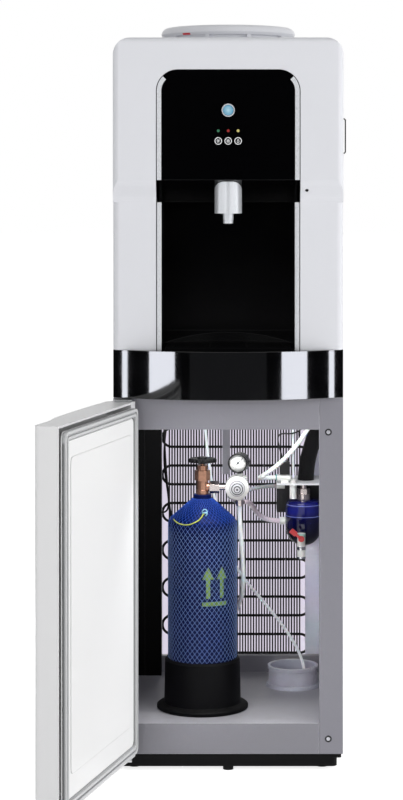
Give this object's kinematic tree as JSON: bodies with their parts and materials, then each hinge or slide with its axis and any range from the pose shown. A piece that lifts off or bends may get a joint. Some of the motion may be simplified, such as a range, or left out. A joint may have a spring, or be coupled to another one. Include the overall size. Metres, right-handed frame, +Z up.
{
  "type": "water dispenser",
  "caption": "Floor-standing water dispenser with bottle collar, button panel, cup alcove and drip tray above a hinged-door cabinet holding a gas cylinder, regulator and carbonator.",
  "frame": {"origin": "centre of the underside of the front centre foot, on the floor", "axes": "+Z up, +Y from the front to the back, +X to the right as seen from the front"},
  "size_m": [0.4011, 0.6691, 1.046],
  "materials": {
    "silver_plastic": "satin silver-white moulding",
    "grey_paint": "grey powder coat",
    "black_moulding": "black grained moulding",
    "foot_rubber": "black rubber",
    "gloss_black": "piano black",
    "liner_black": "smooth black",
    "trim_chrome": "bright plating",
    "tap_silver": "silver paint",
    "lamp": "clear coloured lens",
    "board_green": "solder mask",
    "fitting_white": "white moulding",
    "black_enamel": "black enamel",
    "tank_steel": "brushed stainless",
    "gland_black": "black moulding",
    "cylinder_blue": "blue enamel",
    "boot_rubber": "black rubber",
    "net_strand": "extruded net",
    "valve_bronze": "cast and turned bronze",
    "fitting_chrome": "plated brass",
    "regulator_white": "white lacquer",
    "gauge_black": "black lacquer",
    "pump_black": "black moulding",
    "bowl_blue": "dark blue gloss",
    "plate_white": "white powder coat",
    "cup_grey": "grey moulding",
    "tube_white": "natural polyethylene",
    "tube_clear": "clear tube",
    "hose_braid": "braided clear hose",
    "hose_foam": "foam sleeve",
    "door_silver": "satin silver-white moulding",
    "door_white": "white vacuum-formed sheet",
    "gasket_grey": "soft grey extrusion",
    "wheel_black": "black moulding",
    "lever_red": "red moulding",
    "button_blue": "lit clear cap",
    "key_white": "black cap with a white print",
    "cap_grey": "light plug",
    "hinge_steel": "zinc plated"
  },
  "bodies": {
    "frame": {"base_plate": "black_moulding", "feet": "foot_rubber", "left_side_panel": "grey_paint", "right_side_panel": "grey_paint", "machine_shelf": "grey_paint", "cabinet_floor": "grey_paint", "rear_braces": "grey_paint", "cable_duct": "black_moulding", "stile_screws": "cap_grey", "hinge_brackets": "hinge_steel", "condenser_tube": "black_enamel", "condenser_wires": "black_enamel", "compressor": "black_enamel", "water_tanks": "tank_steel", "back_panel": "grey_paint", "front_housing": "silver_plastic", "top_cover": "silver_plastic", "control_panel": "gloss_black", "chrome_trims": "trim_chrome", "alcove_liner": "liner_black", "tap_cover": "tap_silver", "tap_nozzle": "tap_silver", "indicator_lamps": "lamp", "control_board": "board_green", "dispensing_valves": "fitting_white", "drip_shroud": "gloss_black", "bottle_funnel": "fitting_white", "power_gland": "gland_black", "gas_cylinder": "cylinder_blue", "cylinder_boot": "boot_rubber", "net_sleeve": "net_strand", "cylinder_valve": "valve_bronze", "metal_fittings": "fitting_chrome", "regulator_body": "regulator_white", "gauge_case": "gauge_black", "carbonator_head": "pump_black", "carbonator_bowl": "bowl_blue", "carbonator_plate": "plate_white", "line_fittings": "fitting_white", "drip_cup": "cup_grey", "gas_tubes": "tube_white", "drain_tube": "tube_clear", "water_tubes": "tube_white", "braided_hose": "hose_braid", "foam_hose": "hose_foam"},
    "door": {"door_shell": "door_silver", "door_liner": "door_white", "door_gasket": "gasket_grey"},
    "wheel": {"handwheel": "wheel_black"},
    "knob": {"adjusting_screw": "fitting_chrome"},
    "needle": {"gauge_needle": "gauge_black"},
    "lever": {"cock_lever": "lever_red"},
    "pour": {"pour_button": "button_blue"},
    "cold_key": {"cold_button": "key_white"},
    "hot_key": {"hot_button": "key_white"},
    "ambient_key": {"ambient_button": "key_white"},
    "collar": {"bottle_collar": "silver_plastic"},
    "basin": {"drip_basin": "liner_black"},
    "grille": {"drip_grille": "liner_black"},
    "rocker": {"power_switch": "lever_red"}
  },
  "joints": [
    {"name": "door_swing", "type": "hinge", "parent": "frame", "child": "door", "pos_m": [-0.148, -0.037, 0.272], "axis": [0, 0, 1], "range_deg": [-15, 105]},
    {"name": "pour_press", "type": "slide", "parent": "frame", "child": "pour", "axis": [0, 1, 0], "range_m": [0, 0.0025], "stiffness_N_per_m": 400, "springref_m": -0.001},
    {"name": "cold_press", "type": "slide", "parent": "frame", "child": "cold_key", "axis": [0, 1, 0], "range_m": [0, 0.0015], "stiffness_N_per_m": 300, "springref_m": -0.001},
    {"name": "hot_press", "type": "slide", "parent": "frame", "child": "hot_key", "axis": [0, 1, 0], "range_m": [0, 0.0015], "stiffness_N_per_m": 300, "springref_m": -0.001},
    {"name": "ambient_press", "type": "slide", "parent": "frame", "child": "ambient_key", "axis": [0, 1, 0], "range_m": [0, 0.0015], "stiffness_N_per_m": 300, "springref_m": -0.001},
    {"name": "wheel_turn", "type": "hinge", "parent": "frame", "child": "wheel", "pos_m": [-0.03695, 0.0855, 0.4205], "axis": [0, 0, 1], "range_deg": [0, 540]},
    {"name": "knob_turn", "type": "hinge", "parent": "frame", "child": "knob", "pos_m": [0.01275, 0.0675, 0.3825], "axis": [0, 1, 0], "range_deg": [-270, 270]},
    {"name": "needle_swing", "type": "hinge", "parent": "frame", "child": "needle", "pos_m": [0.01625, 0.0855, 0.4182], "axis": [-0.2419, -0.9703, 0], "range_deg": [-90, 180]},
    {"name": "lever_turn", "type": "hinge", "parent": "frame", "child": "lever", "pos_m": [0.107, 0.138, 0.299], "axis": [0, 1, 0], "range_deg": [0, 90]},
    {"name": "collar_twist", "type": "hinge", "parent": "frame", "child": "collar", "pos_m": [0, 0.16, 1.0215], "axis": [0, 0, 1], "range_deg": [0, 20]},
    {"name": "basin_lift", "type": "slide", "parent": "frame", "child": "basin", "axis": [0, 0, 1], "range_m": [0, 0.06]},
    {"name": "grille_lift", "type": "slide", "parent": "basin", "child": "grille", "axis": [0, 0, 1], "range_m": [0, 0.05]},
    {"name": "switch_rock", "type": "hinge", "parent": "frame", "child": "rocker", "pos_m": [-0.12, 0.318, 0.562], "axis": [1, 0, 0], "range_deg": [0, 16]}
  ]
}
